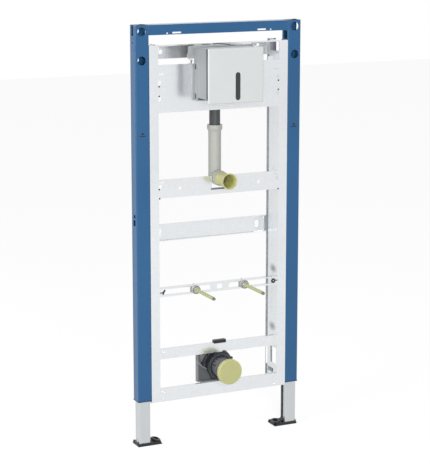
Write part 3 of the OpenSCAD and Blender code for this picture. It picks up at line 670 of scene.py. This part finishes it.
ring_middle = (169.2, front, -657.4)
ring_profile = [(1.9, -0.8), (2.2, -1.2), (6.4, -1.2), (6.8, -0.6), (6.8, 0.4), (1.9, 0.4)]
ring_stem = ((174.4, front, -657), (182.8, front, -657))
wing = bmesh.new()
lathe(wing, ring_middle, ring_profile, steps=36)
bead(wing, ring_stem, thick=2.8)
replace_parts(piece("rail_wing_right", wing, black), "rail_clip_right")
black.on("rail_clip_left", "rail_clip_right")


# Drain
# A moulded plastic saddle, clipped between the two drain bars, carries the ribbed drain connector in
# a two-step clamp ring. Flat panels close its pockets, and a yellow-green cap keeps dirt out of the
# connector. The saddle is coloured lighter than the ring as painted light on its shaded dish; light
# beads on its dished edge and the ring's steps are painted highlights, and black beads in its gaps
# are painted shade.
dark = Finish("drain_dark")
grain = dark.noise(1200, detail=2)
dark.set(
    Base_Color=dark.blend(dark.noise(30), linear(36, 39, 44), linear(50, 53, 58)),
    Roughness=grain * 0.14 + 0.34,
    Normal=dark.bump(grain, 0.0002, 0.35),
)
dark.on("drain_ring")

neck = Finish("neck_grey", "drain_dark")
grain = neck.noise(1100, detail=2)
neck.set(
    Base_Color=neck.blend(neck.noise(30), linear(108, 110, 114), linear(122, 124, 128)),
    Roughness=grain * 0.12 + 0.30,
    Normal=neck.bump(grain, 0.0002, 0.25),
)
neck.on("drain_connector")

# the saddle is coloured far lighter than the ring, as painted light on its shaded dish
lit_saddle = Finish("saddle_dark", "drain_dark")
grain = lit_saddle.noise(1200, detail=2)
lit_saddle.set(
    Base_Color=lit_saddle.blend(lit_saddle.noise(30), linear(138, 142, 146), linear(152, 156, 160)),
    Roughness=grain * 0.12 + 0.22,
    Normal=lit_saddle.bump(grain, 0.0002, 0.25),
)
lit_saddle.on("drain_bracket")

flat = Finish("panel_dark", "drain_dark")
grain = flat.noise(1200, detail=2)
flat.set(
    Base_Color=flat.blend(flat.noise(30), linear(86, 90, 93), linear(98, 102, 105)),
    Roughness=grain * 0.12 + 0.34,
    Normal=flat.bump(grain, 0.0002, 0.25),
)
# flat panels over the pockets of the saddle, with thin upright ribs
panel_y = -62.9
panel_wall = 0.6
rib_places = (36, 43, 50, 56)
rib_heights = (-928, -915, -901)
left_outline = ((-61, -930), (-61, -876), (-56, -882), (-48, -889), (-38, -894.5), (-31, -898), (-24, -930))
right_outline = ((61, -930), (61, -894), (50, -892), (40, -894.5), (31, -898), (24, -930))
panels = bmesh.new()
for side, outline in ((-1, left_outline), (1, right_outline)):
    rim = [panels.verts.new((x / 1000, panel_y / 1000, z / 1000)) for x, z in outline]
    raised = bmesh.ops.extrude_face_region(panels, geom=[panels.faces.new(rim)])["geom"]
    back = [part for part in raised if isinstance(part, bmesh.types.BMVert)]
    bmesh.ops.translate(panels, verts=back, vec=(0, panel_wall / 1000, 0))
    for x in rib_places:
        bead(panels, [(side * x, panel_y, z) for z in rib_heights], thick=1.3)
piece("saddle_panels", panels, flat, smooth=False)

# a light bead along the edge of the saddle's dished recess, a painted highlight
rim_highlight_side = ((-62.2, -47, -865), (-62.2, -52, -869.5), (-61.9, -58, -873), (-60.2, -62.3, -876.4))
rim_highlight_front = ((-56, -63, -882), (-48, -63, -889), (-38, -63, -894.5), (-30, -63, -898.4))
rim_highlight = bmesh.new()
bead(rim_highlight, rim_highlight_side + rim_highlight_front, thick=2.0)
piece("saddle_rim_highlight", rim_highlight, shell)

# light hoops on the stepped edges of the clamp ring, painted highlights
cap_radius = 36
drain_z = corners("drain_cap")[0][2] + cap_radius
ring_steps = ((37, -81), (34.1, -83), (45, -62), (41.5, -62.2))
highlight_hoops = bmesh.new()
for radius, y in ring_steps:
    highlight_hoop_profile = [(radius - 0.5, -0.3), (radius + 0.2, -0.3), (radius + 0.2, 0.5), (radius - 0.5, 0.5)]
    lathe(highlight_hoops, (0, y, drain_z), highlight_hoop_profile, steps=96)
piece("ring_edge_highlights", highlight_hoops, neck)

# black beads as painted shade in the gaps between the teeth of the connector, in its snap window,
# and along the recess
tooth_radius = 27.1
tooth_count = 18
tooth_front = -91
tooth_back = -84
snap_window = ((-25.3, -99, -878.6), (-25.3, -94, -878.6))
gap_y = -63
gap_route = ((-46, -880.5), (-41, -876), (-37.4, -868.5), (-32.4, -860.5), (-25, -853.5))
gap_shades = bmesh.new()
for count in range(tooth_count):
    around = math.tau * (count + 0.5) / tooth_count
    x = tooth_radius * math.sin(around)
    z = tooth_radius * math.cos(around) + drain_z
    bead(gap_shades, [(x, tooth_front, z), (x, tooth_back, z)], thick=2.6, sides=8)
bead(gap_shades, snap_window, thick=4.4, sides=8)
bead(gap_shades, [(x, gap_y, z) for x, z in gap_route], thick=2.6)
piece("saddle_gap_shade", gap_shades, black)
black.on("drain_clip")
yellow.on("drain_cap")


# Feet
# Zinc-coated channels slide out of the uprights through black brake sleeves, which hold them by
# friction, and stand on black moulded plates that are bolted to the floor.
leg = Finish("zinc_foot")
drawn = leg.noise(50, stretch=(1, 1, 0.05))
leg.set(
    Base_Color=leg.blend(drawn, linear(192, 196, 198), linear(208, 212, 214)),
    Metallic=0.85,
    Roughness=drawn * 0.14 + 0.26,
    Normal=leg.bump(drawn, 0.0002, 0.15),
)
leg.on("foot_tube_left", "foot_tube_right")

sole = Finish("foot_black")
grain = sole.noise(900, detail=2)
sole.set(
    Base_Color=sole.blend(sole.noise(40), linear(24, 25, 28), linear(36, 37, 40)),
    Roughness=grain * 0.16 + 0.30,
    Normal=sole.bump(grain, 0.0002, 0.4),
)
sole.on("foot_plate_left", "foot_plate_right")
black.on("foot_brake_left", "foot_brake_right")
